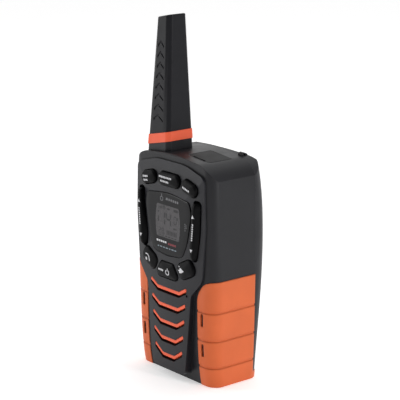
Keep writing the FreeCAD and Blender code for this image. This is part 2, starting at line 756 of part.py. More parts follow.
def mast_section(level, grow=0.0):
    """The antenna's cross-section at a height: a square with bevelled corners that tapers upwards."""
    low, high = size("mast_low"), size("mast_high")
    t = (level - low) / (high - low)

    def between(a, b):
        return size(a) + (size(b) - size(a)) * t
    x, y = -between("mast_x", "mast_tip_x"), -between("mast_y", "mast_tip_y")
    a = between("mast_wide", "tip_wide_x") / 2 + grow
    b = between("mast_deep", "tip_deep") / 2 + grow
    bevel = size("mast_bevel")
    corners = [(-a + bevel, -b), (a - bevel, -b), (a, -b + bevel), (a, b - bevel), (a - bevel, b),
               (-a + bevel, b), (-a, b - bevel), (-a, -b + bevel)]
    return [(x + p, y + q, size("mast_corner")) for p, q in corners]


def mast_form(name, low, high, grow=0.0):
    body = doc.addObject("PartDesign::Body", name)
    ends = [sketch(body, "XY_Plane", z, edges(mast_section(z, grow))) for z in (low, high)]
    loft = body.newObject("PartDesign::AdditiveLoft", "taper")
    loft.Profile = ends[0]
    loft.Sections = ends[1:]
    return body


def slanted(name, level, length):
    """A slab that rises towards +X at the antenna's slant.

    level is its lower face's height at the mast's middle, and length its upright thickness.
    """
    slab = doc.addObject("Part::Box", name)
    slab.Length = 80
    slab.Width = 80
    slab.setExpression("Height", "(%s) * cos(Sizes.mast_slope * 1 deg)" % length)
    turn = FreeCAD.Rotation(Vector(0, 1, 0), -size("mast_slope"))
    corner = turn.multVec(Vector(-40, -40, 0))
    slab.Placement = FreeCAD.Placement(Vector(-size("mast_x"), 0, level) + corner, turn)
    return slab


def rounded_tip(sheath):
    """Round the rim of the antenna's slanted top."""
    doc.recompute()
    rim = [n for n, e in enumerate(sheath.Shape.Edges, 1) if e.BoundBox.ZMin > size("mast_high") - 3]
    rounded = doc.addObject("Part::Fillet", "tip_rounded")
    rounded.Base = sheath
    rounded.Edges = [(number, 0.7, 0.7) for number in rim]
    return rounded


def chevrons():
    """Shallow arrowheads pressed into the front of the antenna, one above another."""
    marks = []
    floor = mast_form("chevron_floor", 110, 200, -size("mark_deep"))
    for n in range(int(size("marks"))):
        low = size("mark_low") + n * size("mark_pitch")
        x = -size("mast_x") + (low - size("mast_low")) * 0.038
        a, rise, stroke = 4.0 - 0.22 * n, 2.6, 1.3
        arrow = [(x - a, low, 0), (x, low + rise, 0), (x + a, low, 0), (x + a, low + stroke, 0),
                 (x, low + rise + stroke, 0), (x - a, low + stroke, 0)]
        marks.append(cut("chevron_tool%d" % n, front_prism("chevron%d" % n, arrow, 4, "20 mm"), floor))
    return marks


def make_antenna():
    """Neck, orange ring and tapered sheath, cut at the same slant, round a wound core."""
    ring_low = size("ring_low")
    ring_high = ring_low + size("ring_tall")
    foot = (-size("mast_x"), -size("mast_y"), 112)
    bore = rod("mast_bore", foot, (0, 0, 1), "Sizes.core_radius", "62")
    below = mast_form("neck_form", size("mast_low") - 4, 150)
    neck = common("neck_blank", below, slanted("neck_slab", ring_low - 30, "30"))
    neck = cut("neck_on_case", neck, OUTER)
    finish("antenna_neck", cut("neck_cut", neck, bore))
    ring = common("ring_blank", mast_form("ring_form", 110, 150, size("ring_proud")),
                  slanted("ring_slab", ring_low, "Sizes.ring_tall"))
    finish("antenna_ring", cut("ring_cut", ring, bore))
    sheath = common("sheath_blank", mast_form("sheath_form", 110, 200),
                    slanted("sheath_slab", ring_high, "90"))
    tip = slanted("tip_slab", size("mast_high"), "40")
    rounded = rounded_tip(cut("sheath_trimmed", sheath, tip))
    finish("antenna_sheath", cut("sheath_cut", rounded, fuse("sheath_tools", bore, *chevrons())))
    finish("antenna_core", rod("core_rod", foot, (0, 0, 1), "Sizes.core_radius", "62"))


# ---------------------------------------------------------------- top flap and lanyard lug


def flap_outline(gap):
    left, right = size("flap_left"), size("flap_right")
    front, back = -size("flap_front"), size("flap_back")
    return shrink([(left, front, 3), (right, front, 3), (right, back, 0.6), (left, back, 0.6)], gap)


def make_flap():
    blank = plan_prism("flap_blank", flap_outline(size("gap")), size("body_top") - 10, "20 mm")
    bed = casing_form("flap_bed", size("flap_thick"))
    finish("jack_cover", cut("flap_cut", common("flap_outer", OUTER, blank), bed))
    low = ("Sizes.flap_left + 3", "-9.2", "106")
    high = ("Sizes.flap_right - 5.5", "-3.2", "Sizes.body_top - 5")
    socket = rod("jack_socket", (12.5, -6.2, 107), (0, 0, 1), "1.8", "20")
    finish("jack_block", cut("jack_cut", block("jack_outer", low, high), socket))


def make_lug():
    """A small eye at the back of the top for a wrist strap."""
    eye = side_eye()
    finish("lanyard_lug", cut("lug_cut", eye, OUTER))


def side_eye():
    outline = [(12.0, 114, 0.5), (18.6, 113, 0.5), (17.4, 120.6, 1.6), (13.4, 122.4, 1.4)]
    plate = prism("lug_plate", "YZ_Plane", 18.4, outline, "2.6 mm")
    eye = rod("lug_eye", (10, 15.2, 120.4), (1, 0, 0), "0.6", "20")
    return cut("lug_with_eye", plate, eye)


# ---------------------------------------------------------------- boards


def make_boards():
    low = ("-Sizes.board_wide / 2", "-Sizes.board_front - Sizes.board_thick", "Sizes.board_low")
    high = ("Sizes.board_wide / 2", "-Sizes.board_front", "Sizes.board_high")
    board = block("board_blank", low, high)
    notch = rod("board_notch", (0, -10, size("speaker_mid")), (0, 1, 0),
                "Sizes.magnet_radius + 0.6", "20")
    holes = [rod("board_hole%d" % n, (x, -10, z), (0, 1, 0), "1.5", "20")
             for n, (x, z) in enumerate(BOARD_SCREWS)]
    finish("main_board", cut("board_cut", board, fuse("board_holes", notch, *holes)))
    can = block("shield_outer", ("-20", "-1.4", "78"), ("16", "1.4", "104"))
    hollow = block("shield_inner", ("-19.6", "-1.4", "78.4"), ("15.6", "1.0", "103.6"))
    finish("rf_shield", cut("shield_cut", can, hollow))
    screws = [screw("board_screw%d" % n, (x, -1.4, z), (0, 1, 0), 1.25, 5.0)
              for n, (x, z) in enumerate(BOARD_SCREWS)]
    finish("board_screws", group("board_screw_group", *screws))


BOARD_SCREWS = [(-21.5, 12.0), (21.5, 12.0), (-21.5, 51.0), (21.5, 51.0)]
CASE_SCREWS = [(-27.2, 104.0), (27.2, 104.0), (-27.2, 72.0), (27.2, 72.0)]


def screw(name, head_at, towards, radius, length):
    """A pan-head screw: its head stands out along towards and its shank runs the other way."""
    head = rod(name + "_head", head_at, towards, "%g" % (radius * 2), "%g" % (radius * 1.2))
    back = [-part for part in towards]
    shank = rod(name + "_shank", head_at, back, "%g" % radius, "%g" % length)
    return fuse(name, head, shank)


def screw_holes(name):
    """Pilot holes in the front posts, or clearance holes and counterbores in the rear ones."""
    tools = []
    for n, (x, z) in enumerate(CASE_SCREWS):
        if name == "front":
            tools.append(rod("pilot%d" % n, (x, 7, z), (0, 1, 0), "Sizes.screw_shank", "30"))
            board_x, board_z = BOARD_SCREWS[n]
            tools.append(rod("board_pilot%d" % n, (board_x, -9, board_z), (0, 1, 0),
                             "Sizes.screw_shank", "8"))
        else:
            tools.append(rod("clear%d" % n, (x, 5, z), (0, 1, 0), "Sizes.screw_shank + 0.2", "30"))
            tools.append(rod("counterbore%d" % n, (x, size("screw_seat"), z), (0, 1, 0),
                             "Sizes.screw_shank * 2 + 0.3", "30"))
    return tools


def make_case_screws():
    screws = [screw("case_screw%d" % n, (x, size("screw_seat"), z), (0, 1, 0), 1.25, 8.5)
              for n, (x, z) in enumerate(CASE_SCREWS)]
    finish("case_screws", group("case_screw_group", *screws))


# ---------------------------------------------------------------- cells


def make_cells():
    """Three AA cells, the middle one upside down, between sprung plates and flat plates."""
    cells, springs, plates = [], [], []
    low, can_long, nub_long = size("cell_low"), size("cell_long"), size("cell_nub")
    thick, top = size("plate_thick"), size("well_high")
    for number in range(3):
        x, y = (number - 1) * size("cell_pitch"), size("cell_y")
        upside_down = number == 1
        can_low = low + (nub_long if upside_down else 0)
        nub_low = low if upside_down else low + can_long
        can = rod("can%d" % number, (x, y, can_low), (0, 0, 1), "Sizes.cell_radius", "Sizes.cell_long")
        nub = rod("nub%d" % number, (x, y, nub_low), (0, 0, 1), "2.6", "Sizes.cell_nub")
        cells.append(fuse("aa_cell%d" % number, can, nub))
        spring = doc.addObject("Part::Cone", "spring%d" % number)
        spring.Radius1 = 4.6
        spring.Radius2 = 3.0
        spring.setExpression("Height", "Sizes.cell_low - Sizes.spring_low")
        spring.Placement.Base = Vector(x, y, size("spring_low"))
        springs.append(spring)
        for end, level in (("low", size("spring_low") - thick), ("high", top - thick)):
            plates.append(plan_prism("plate_%s%d" % (end, number), oblong_at(x, y, 12, 11, 1), level,
                                     "Sizes.plate_thick"))
    finish("battery_cells", group("cell_group", *cells))
    finish("battery_springs", group("spring_group", *springs))
    finish("battery_contacts", group("plate_group", *plates))


def make_door_seal():
    """A thin rubber frame under the battery door's rim."""
    rim = door_outline(size("door_gap") + 0.3)
    ring = cut("seal_frame", front_prism("seal_outer", rim, -40, "26 mm"),
               front_prism("seal_inner", shrink(rim, 0.8), -40, "26 mm"))
    under = casing_form("seal_under", size("door_thick"))
    ring = common("seal_under_door", ring, under)
    finish("door_seal", cut("door_seal_cut", ring, casing_form("seal_bed", size("door_thick") + 0.25)))


# ---------------------------------------------------------------- build, check and write


def check_document():
    """Stop if any object failed or any piece is empty or broken."""
    for item in doc.Objects:
        if "Invalid" in item.State or "Error" in item.State:
            raise SystemExit("%s failed: %s" % (item.Name, item.State))
    for piece in PARTS:
        if piece.Shape.isNull() or not piece.Shape.isValid() or not piece.Shape.Solids:
            raise SystemExit("%s has no sound solid" % piece.Label)


def write_parts():
    os.makedirs("parts", exist_ok=True)
    for old in os.listdir("parts"):
        os.remove(os.path.join("parts", old))
    for piece in PARTS:
        piece.Shape.exportStep("parts/%s.step" % piece.Label)


for make in (make_casing, make_face, make_display, make_keys, make_rockers, make_membrane, make_grille,
             make_speaker, make_microphone, make_talk, make_antenna, make_flap, make_lug, make_boards,
             make_case_screws, make_cells, make_door, make_door_seal):
    make()
make_grip("left_grip", -1)
make_grip("right_grip", 1)
doc.recompute()
check_document()
write_parts()
for piece in PARTS:
    print("%-18s %3d solid(s) %9.1f mm3" % (piece.Label, len(piece.Shape.Solids), piece.Shape.Volume))
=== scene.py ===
"""The looks of a hand-held two-way radio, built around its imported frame.

The frame is in metres, with +Z up and the front towards -Y. Outlines and sizes here are in
millimetres, in the same axes, and mesh_piece turns them into metres.
"""

import json
import math

import bmesh
import bpy
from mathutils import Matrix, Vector
from mathutils.bvhtree import BVHTree


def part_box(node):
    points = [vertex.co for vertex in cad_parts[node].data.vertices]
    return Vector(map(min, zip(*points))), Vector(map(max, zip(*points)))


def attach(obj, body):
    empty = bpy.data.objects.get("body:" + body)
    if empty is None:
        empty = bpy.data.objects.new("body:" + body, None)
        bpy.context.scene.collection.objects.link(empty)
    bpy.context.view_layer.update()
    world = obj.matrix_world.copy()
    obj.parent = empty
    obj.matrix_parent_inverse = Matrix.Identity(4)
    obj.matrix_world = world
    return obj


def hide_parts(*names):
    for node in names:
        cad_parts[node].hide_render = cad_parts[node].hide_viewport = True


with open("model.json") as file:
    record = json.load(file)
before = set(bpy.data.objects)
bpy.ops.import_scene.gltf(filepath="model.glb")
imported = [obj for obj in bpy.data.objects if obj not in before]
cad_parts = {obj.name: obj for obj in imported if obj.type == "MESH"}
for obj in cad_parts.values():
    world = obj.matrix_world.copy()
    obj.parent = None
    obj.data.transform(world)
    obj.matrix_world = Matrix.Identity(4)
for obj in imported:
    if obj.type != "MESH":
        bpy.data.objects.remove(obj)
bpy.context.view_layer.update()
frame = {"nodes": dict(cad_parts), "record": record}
NODES = frame["nodes"]
MM = 0.001

# ---------------------------------------------------------------- camera, light and floor

AZIMUTH = math.radians(50.5)
ELEVATION = math.radians(14.4)
DISTANCE = 0.846
TARGET = Vector((0.0030, 0.0, 0.0949))
LENS = 144.0
SENSOR = 36.0
LIT_POINT = (0, 0, 0.09)
# Each lamp: its place, its power in watts, and how wide and tall it is.
LAMPS = {
    "key": ((-0.62, -0.62, 0.40), 2.2, 0.16, 0.75),
    "fill": ((0.92, 0.22, 0.35), 3.4, 0.14, 0.70),
    "top": ((0.1, 0.2, 1.0), 1.6, 0.6, 0.6),
}
# The tent is brightest towards TENT_BACK, and its light fades from there to the front.
TENT_BACK = (-0.77, 0.64, 0.0)
TENT_FADE = (-0.2, 0.6)
TENT_STRENGTH = (0.24, 1.1)
FLOOR_REACH = 4
FLOOR_DROP = 0.0002
FLOOR_WHITE, FLOOR_ROUGHNESS, FLOOR_GLOW = 0.88, 0.9, 0.45


def make_camera():
    """The camera, at an azimuth and elevation about the object."""
    data = bpy.data.cameras.new("camera")
    data.lens = LENS
    data.sensor_width = SENSOR
    data.clip_start = 0.01
    data.clip_end = 20.0
    camera = bpy.data.objects.new("camera", data)
    bpy.context.collection.objects.link(camera)
    back = Vector((math.sin(AZIMUTH) * math.cos(ELEVATION),
                   -math.cos(AZIMUTH) * math.cos(ELEVATION), math.sin(ELEVATION)))
    camera.location = TARGET + back * DISTANCE
    camera.rotation_euler = back.to_track_quat("Z", "Y").to_euler()
    bpy.context.scene.camera = camera


def area_light(name, place, power, wide, tall):
    """A rectangular lamp that faces the middle of the object."""
    data = bpy.data.lights.new(name, "AREA")
    data.shape = "RECTANGLE"
    data.energy = power
    data.size = wide
    data.size_y = tall
    light = bpy.data.objects.new(name, data)
    light.location = place
    light.rotation_euler = (Vector(place) - Vector(LIT_POINT)).to_track_quat("Z", "Y").to_euler()
    bpy.context.collection.objects.link(light)


def make_world():
    """A white tent round the back of the object, dimmer in front of it."""
    world = bpy.data.worlds.new("studio")
    world.use_nodes = True
    tree = world.node_tree
    place = tree.nodes.new("ShaderNodeTexCoord")
    facing = tree.nodes.new("ShaderNodeVectorMath")
    facing.operation = "DOT_PRODUCT"
    facing.inputs[1].default_value = TENT_BACK
    tree.links.new(place.outputs["Generated"], facing.inputs[0])
    shade = tree.nodes.new("ShaderNodeMapRange")
    shade.interpolation_type = "SMOOTHSTEP"
    shade.inputs["From Min"].default_value, shade.inputs["From Max"].default_value = TENT_FADE
    shade.inputs["To Min"].default_value, shade.inputs["To Max"].default_value = TENT_STRENGTH
    tree.links.new(facing.outputs["Value"], shade.inputs["Value"])
    tree.links.new(shade.outputs["Result"], tree.nodes["Background"].inputs["Strength"])
    tree.nodes["Background"].inputs["Color"].default_value = (1, 1, 1, 1)
    bpy.context.scene.world = world
    bpy.context.scene.view_settings.view_transform = "Standard"


def make_studio():
    """The tent, the lamps and a white floor just under the object."""
    make_world()
    for name, lamp in LAMPS.items():
        area_light(name, *lamp)
    far = FLOOR_REACH
    mesh = bpy.data.meshes.new("floor")
    mesh.from_pydata([(-far, -far, 0), (far, -far, 0), (far, far, 0), (-far, far, 0)], [],
                     [(0, 1, 2, 3)])
    floor = bpy.data.objects.new("floor", mesh)
    floor.location.z = -FLOOR_DROP
    bpy.context.collection.objects.link(floor)
    material, _, shader = new_material("floor_white")
    shader.inputs["Base Color"].default_value = (FLOOR_WHITE, FLOOR_WHITE, FLOOR_WHITE, 1)
    shader.inputs["Roughness"].default_value = FLOOR_ROUGHNESS
    shader.inputs["Emission Color"].default_value = (1, 1, 1, 1)
    shader.inputs["Emission Strength"].default_value = FLOOR_GLOW
    floor.data.materials.append(material)


# ---------------------------------------------------------------- materials

# Noise scales are in waves per metre, and lengths are in metres.
MOTTLE, GLOSS_PATCHES, CLOTH_FUZZ = 55, 180, 900
GLOSS_SWING = 0.07
COAT_ROUGHNESS = 0.08
GRAIN_STRENGTH = 0.6
BEVEL_SAMPLES = 4
THREAD_SCALE = 0.314  # a wave texture's scale for threads one metre apart
PRINT_EDGE = 0.00005


def new_material(name):
    """A material, its node tree and its shader."""
    material = bpy.data.materials.new(name)
    material.use_nodes = True
    tree = material.node_tree
    return material, tree, tree.nodes["Principled BSDF"]


def noise(tree, scale, detail=2.0, rough=0.5):
    """Object-space noise; scale is in waves per metre."""
    place = tree.nodes.new("ShaderNodeTexCoord")
    texture = tree.nodes.new("ShaderNodeTexNoise")
    texture.inputs["Scale"].default_value = scale
    texture.inputs["Detail"].default_value = detail
    texture.inputs["Roughness"].default_value = rough
    tree.links.new(place.outputs["Object"], texture.inputs["Vector"])
    return texture.outputs["Fac"]


def ramp(tree, value, stops):
    """A colour ramp of (position, colour) stops."""
    node = tree.nodes.new("ShaderNodeValToRGB")
    tree.links.new(value, node.inputs["Fac"])
    elements = node.color_ramp.elements
    elements[0].position, elements[0].color = stops[0][0], (*stops[0][1], 1)
    elements[1].position, elements[1].color = stops[-1][0], (*stops[-1][1], 1)
    for position, colour in stops[1:-1]:
        element = elements.new(position)
        element.color = (*colour, 1)
    return node.outputs["Color"]


def spread(tree, value, low, high):
    """Map a 0..1 value to the range low..high."""
    node = tree.nodes.new("ShaderNodeMapRange")
    node.inputs["To Min"].default_value = low
    node.inputs["To Max"].default_value = high
    tree.links.new(value, node.inputs["Value"])
    return node.outputs["Result"]


def moulded(name, colour, roughness=0.5, vary=0.12, grain=2600, bump=0.00003, specular=0.25,
            coat=0.0, metallic=0.0, soft_edge=0.00035):
    """Plastic, rubber or metal: mottled colour and gloss over a fine grain, with soft edges.

    grain is the grain's noise scale, and bump its height in metres. soft_edge is the radius, in
    metres, that edges are shaded with.
    """
    material, tree, shader = new_material(name)
    broad = noise(tree, MOTTLE, 3.0)
    dark = tuple(c * (1 - vary) for c in colour)
    light = tuple(min(1, c * (1 + vary)) for c in colour)
    tree.links.new(ramp(tree, broad, [(0.3, dark), (0.7, light)]), shader.inputs["Base Color"])
    patches = noise(tree, GLOSS_PATCHES, 4.0)
    tree.links.new(spread(tree, patches, roughness - GLOSS_SWING, roughness + GLOSS_SWING),
                   shader.inputs["Roughness"])
    shader.inputs["Specular IOR Level"].default_value = specular
    shader.inputs["Metallic"].default_value = metallic
    shader.inputs["Coat Weight"].default_value = coat
    shader.inputs["Coat Roughness"].default_value = COAT_ROUGHNESS
    edge = tree.nodes.new("ShaderNodeBevel")
    edge.samples = BEVEL_SAMPLES
    edge.inputs["Radius"].default_value = soft_edge
    normal = edge.outputs["Normal"]
    if bump:
        node = tree.nodes.new("ShaderNodeBump")
        node.inputs["Strength"].default_value = GRAIN_STRENGTH
        node.inputs["Distance"].default_value = bump
        tree.links.new(noise(tree, grain, 2.0, 0.6), node.inputs["Height"])
        tree.links.new(normal, node.inputs["Normal"])
        normal = node.outputs["Normal"]
    tree.links.new(normal, shader.inputs["Normal"])
    return material


def woven(name, colour, pitch):
    """Black speaker cloth: threads crossing at a pitch in metres."""
    material, tree, shader = new_material(name)
    place = tree.nodes.new("ShaderNodeTexCoord")
    heights = []
    for direction in ("X", "Z"):
        wave = tree.nodes.new("ShaderNodeTexWave")
        wave.bands_direction = direction
        wave.inputs["Scale"].default_value = THREAD_SCALE / pitch
        tree.links.new(place.outputs["Object"], wave.inputs["Vector"])
        heights.append(wave.outputs["Fac"])
    both = tree.nodes.new("ShaderNodeMath")
    both.operation = "MULTIPLY"
    tree.links.new(heights[0], both.inputs[0])
    tree.links.new(heights[1], both.inputs[1])
    hole = tuple(c * 0.15 for c in colour)
    tree.links.new(ramp(tree, both.outputs[0], [(0.1, hole), (0.6, colour)]),
                   shader.inputs["Base Color"])
    tree.links.new(spread(tree, noise(tree, CLOTH_FUZZ), 0.7, 0.95), shader.inputs["Roughness"])
    node = tree.nodes.new("ShaderNodeBump")
    node.inputs["Distance"].default_value = pitch * 0.4
    tree.links.new(both.outputs[0], node.inputs["Height"])
    tree.links.new(node.outputs["Normal"], shader.inputs["Normal"])
    return material


MATERIALS = {
    "charcoal_plastic": moulded("charcoal", (0.0125, 0.0125, 0.0150), 0.40, grain=2400,
                                bump=0.00004),
    "rear_plastic": moulded("rear_charcoal", (0.0180, 0.0180, 0.0210), 0.46, grain=2400,
                            bump=0.00004),
    "panel_plastic": moulded("panel_charcoal", (0.0150, 0.0150, 0.0185), 0.36, grain=3200,
                             bump=0.00002),
    "key_rubber": moulded("key_black", (0.0025, 0.0025, 0.0030), 0.33, grain=3200,
                          bump=0.00002, specular=0.07),
    "orange_rubber": moulded("grip_orange", (0.68, 0.135, 0.038), 0.46, vary=0.05, grain=2400,
                             bump=0.00005, soft_edge=0.0011),
    "orange_plastic": moulded("louvre_orange", (0.90, 0.130, 0.055), 0.36, vary=0.05, grain=3000,
                              bump=0.00002),
    "antenna_rubber": moulded("antenna_charcoal", (0.0075, 0.0075, 0.0100), 0.36, grain=2000,
                              bump=0.00004, specular=0.17),
    "window_glass": moulded("window_black", (0.0040, 0.0040, 0.0050), 0.13, bump=0,
                            specular=0.18, soft_edge=0.0002),
    "lcd_glass": moulded("lcd_grey", (0.066, 0.062, 0.066), 0.28, vary=0.10, bump=0,
                         soft_edge=0.0001),
    "white_plastic": moulded("white_frame", (0.7, 0.7, 0.68), 0.5),
    "black_plastic": moulded("black_plastic", (0.010, 0.010, 0.011), 0.45),
    "seal_rubber": moulded("seal_rubber", (0.012, 0.012, 0.013), 0.6),
    "board_laminate": moulded("board_green", (0.02, 0.14, 0.05), 0.35),
    "tinned_steel": moulded("tinned_steel", (0.62, 0.62, 0.60), 0.32, metallic=1.0),
    "screw_steel": moulded("screw_steel", (0.20, 0.20, 0.21), 0.35, metallic=1.0),
    "spring_steel": moulded("spring_steel", (0.72, 0.72, 0.70), 0.22, metallic=1.0),
    "magnet_steel": moulded("magnet_steel", (0.34, 0.34, 0.34), 0.4, metallic=1.0),
    "cone_paper": moulded("cone_paper", (0.04, 0.04, 0.04), 0.8),
    "cloth": woven("cloth_black", (0.020, 0.020, 0.021), 0.0006),
    "cell_jacket": moulded("cell_jacket", (0.05, 0.16, 0.42), 0.3, coat=0.4),
    "brass": moulded("brass", (0.75, 0.53, 0.25), 0.3, metallic=1.0),
}
PRINT_WHITE = moulded("print_white", (0.62, 0.62, 0.64), 0.5, vary=0.05, soft_edge=PRINT_EDGE)
PRINT_GREY = moulded("print_grey", (0.15, 0.15, 0.16), 0.45, vary=0.10, soft_edge=PRINT_EDGE)
PRINT_RED = moulded("print_red", (0.22, 0.035, 0.045), 0.45, vary=0.10, soft_edge=PRINT_EDGE)
PRINT_BLUE = moulded("print_blue", (0.20, 0.25, 0.29), 0.45, vary=0.10, soft_edge=PRINT_EDGE)
LCD_INK = moulded("lcd_ink", (0.018, 0.017, 0.019), 0.4, vary=0.10, soft_edge=PRINT_EDGE)


def dress_nodes():
    """Give each CAD node the material of its slot."""
    for entry in frame["record"]["subparts"]:
        node = NODES[entry["node"]]
        for place in node.material_slots:
            place.material = MATERIALS[entry["material_slot"]]


# ---------------------------------------------------------------- building meshes, in millimetres

ARC_STEPS, CROWN_STEPS, SLAB_STEPS = 5, 5, 4  # rings in a rounded edge, a crown, a slab's edge
CAP_STEP = 0.9  # the longest run round a cap
RING_GAP = 0.001  # keeps a cap's first ring off its wall, so that they don't weld
WELD = 1e-7  # points nearer than this, in metres, are joined
STRAIGHT = 1.56  # half the angle, in radians, of a corner too flat to round


def mesh_piece(name, points, faces, body, slot, material=None, replaced=()):
    """A smooth-shaded piece from points in millimetres."""
    mesh = bpy.data.meshes.new(name)
    mesh.from_pydata([(x * MM, y * MM, z * MM) for x, y, z in points], [], faces)
    shape = bmesh.new()
    shape.from_mesh(mesh)
    bmesh.ops.remove_doubles(shape, verts=shape.verts, dist=WELD)
    bmesh.ops.recalc_face_normals(shape, faces=shape.faces)
    shape.to_mesh(mesh)
    shape.free()
    mesh.shade_smooth()
    piece = bpy.data.objects.new(name, mesh)
    bpy.context.collection.objects.link(piece)
    mesh.materials.append(material or MATERIALS[slot])
    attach(piece, body)
    if replaced:
        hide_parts(*replaced)
    return piece


def sharpen(piece, degrees=35):
    """Keep edges steeper than this crisp."""
    piece.data.set_sharp_from_angle(angle=math.radians(degrees))


def rounded(outline, per_arc=6):
    """Points along a polygon whose corners (a, b, radius) are rounded."""
    points = []
    count = len(outline)
    for i in range(count):
        here = Vector(outline[i][:2])
        before = (Vector(outline[i - 1][:2]) - here).normalized()
        after = (Vector(outline[(i + 1) % count][:2]) - here).normalized()
        radius = outline[i][2]
        half = before.angle(after) / 2
        if radius <= 0 or half > STRAIGHT:
            points.append(tuple(here))
            continue
        reach = radius / math.tan(half)
        middle = here + (before + after).normalized() * (radius / math.sin(half))
        first, last = here + before * reach - middle, here + after * reach - middle
        turn = first.angle_signed(last)
        for step in range(per_arc + 1):
            angle = -turn * step / per_arc
            c, s = math.cos(angle), math.sin(angle)
            points.append((middle.x + first.x * c - first.y * s,
                           middle.y + first.x * s + first.y * c))
    return points


def even(points, step):
    """The same closed line with its long runs divided."""
    result = []
    for i, here in enumerate(points):
        after = points[(i + 1) % len(points)]
        gap = math.dist(here, after)
        if gap < 1e-6:
            continue
        runs = max(1, round(gap / step))
        for k in range(runs):
            t = k / runs
            result.append((here[0] + (after[0] - here[0]) * t,
                           here[1] + (after[1] - here[1]) * t))
    return result


def inset_by(points, distance):
    """Move a counter-clockwise line inwards."""
    moved = []
    count = len(points)
    for i in range(count):
        here = Vector(points[i])
        into = (here - Vector(points[i - 1])).normalized()
        out = (Vector(points[(i + 1) % count]) - here).normalized()
        normal = (Vector((-into.y, into.x)) + Vector((-out.y, out.x))).normalized()
        moved.append(tuple(here + normal * distance))
    return moved


def turned(outline, degrees, middle):
    """An outline about the origin, turned and then moved to middle."""
    c, s = math.cos(math.radians(degrees)), math.sin(math.radians(degrees))
    return [(middle[0] + a * c - b * s, middle[1] + a * s + b * c, r) for a, b, r in outline]


def oblong(wide, tall, radius):
    """The outline of a rounded oblong about the origin."""
    a, b = wide / 2, tall / 2
    return [(-a, -b, radius), (a, -b, radius), (a, b, radius), (-a, b, radius)]


def both_sides(right):
    """A whole outline from its right half, whose first and last points are on the middle line."""
    return right + [(-a, b, r) for a, b, r in right[-2:0:-1]]


def fan(count, first, tip):
    """Triangles between a closed ring of count points and one point."""
    return [(first + i, first + (i + 1) % count, tip) for i in range(count)]


def rings_to_faces(count, rings, first=0):
    """Quads between successive closed rings of count points."""
    faces = []
    for r in range(rings - 1):
        for i in range(count):
            j = (i + 1) % count
            low, high = first + r * count, first + (r + 1) * count
            faces.append((low + i, low + j, high + j, high + i))
    return faces


def tube_faces(count, rings):
    """Faces of rings of count points, closed at both ends."""
    last = (rings - 1) * count
    return rings_to_faces(count, rings) + [tuple(range(count)), tuple(range(last, last + count))]


def crowned_cap(name, outline, back, rim, crown, edge, body, slot, replaced):
    """A key-like solid from y = -back forwards: upright wall, rounded edge, crowned front."""
    line = even(rounded(outline), CAP_STEP)
    middle = (sum(p[0] for p in line) / len(line), sum(p[1] for p in line) / len(line))
    points = [(a, -back, b) for a, b in line]
    points += [(a, edge - rim, b) for a, b in line]
    rings = 2
    for step in range(1, ARC_STEPS + 1):
        angle = math.pi / 2 * step / ARC_STEPS
        moved = inset_by(line, edge * (1 - math.cos(angle)) + RING_GAP)
        points += [(a, edge - rim - edge * math.sin(angle), b) for a, b in moved]
        rings += 1
    flat = inset_by(line, edge)
    for step in range(1, CROWN_STEPS + 1):
        t = step / (CROWN_STEPS + 1)
        rise = crown * (1 - (1 - t) ** 2)
        points += [(middle[0] + (a - middle[0]) * (1 - t), -rim - rise,
                    middle[1] + (b - middle[1]) * (1 - t)) for a, b in flat]
        rings += 1
    count = len(line)
    faces = rings_to_faces(count, rings)
    points.append((middle[0], -rim - crown, middle[1]))
    faces += fan(count, (rings - 1) * count, len(points) - 1)
    faces.append(tuple(reversed(range(count))))
    piece = mesh_piece(name, points, faces, body, slot, None, replaced)
    sharpen(piece, 60)
    return piece


def bevelled_slab(outlines, back, front, edge):
    """Points and faces of slabs from y = -back to y = -front, with rounded front edges."""
    points, faces = [], []
    for outline in outlines:
        line = rounded(outline, 4)
        first, count = len(points), len(line)
        points += [(a, -back, b) for a, b in line]
        rings = 1
        for step in range(SLAB_STEPS + 1):
            angle = math.pi / 2 * step / SLAB_STEPS
            moved = inset_by(line, edge * (1 - math.cos(angle)))
            points += [(a, edge - front - edge * math.sin(angle), b) for a, b in moved]
            rings += 1
        faces += rings_to_faces(count, rings, first)
        faces.append(tuple(first + i for i in reversed(range(count))))
        faces.append(tuple(first + (rings - 1) * count + i for i in range(count)))
    return points, faces


# ---------------------------------------------------------------- laying small pieces on a surface


def surface_of(piece):
    """A search tree of a piece's mesh, for laying things on it."""
    mesh = piece.data
    return BVHTree.FromPolygons([v.co for v in mesh.vertices], [p.vertices for p in mesh.polygons])


TOWARDS = {"back": Vector((0, 1, 0)), "front": Vector((0, -1, 0)), "right": Vector((1, 0, 0)),
           "down": Vector((0, 0, -1)), "up": Vector((0, 0, 1))}
PLANES = {"back": ("x", "z"), "front": ("x", "z"), "right": ("y", "z"), "down": ("x", "y")}
START_BACK, START_HIGH = 0.1, 0.3  # where rays start, in metres: outside the object
HALVINGS = 4  # the most times an edge is divided


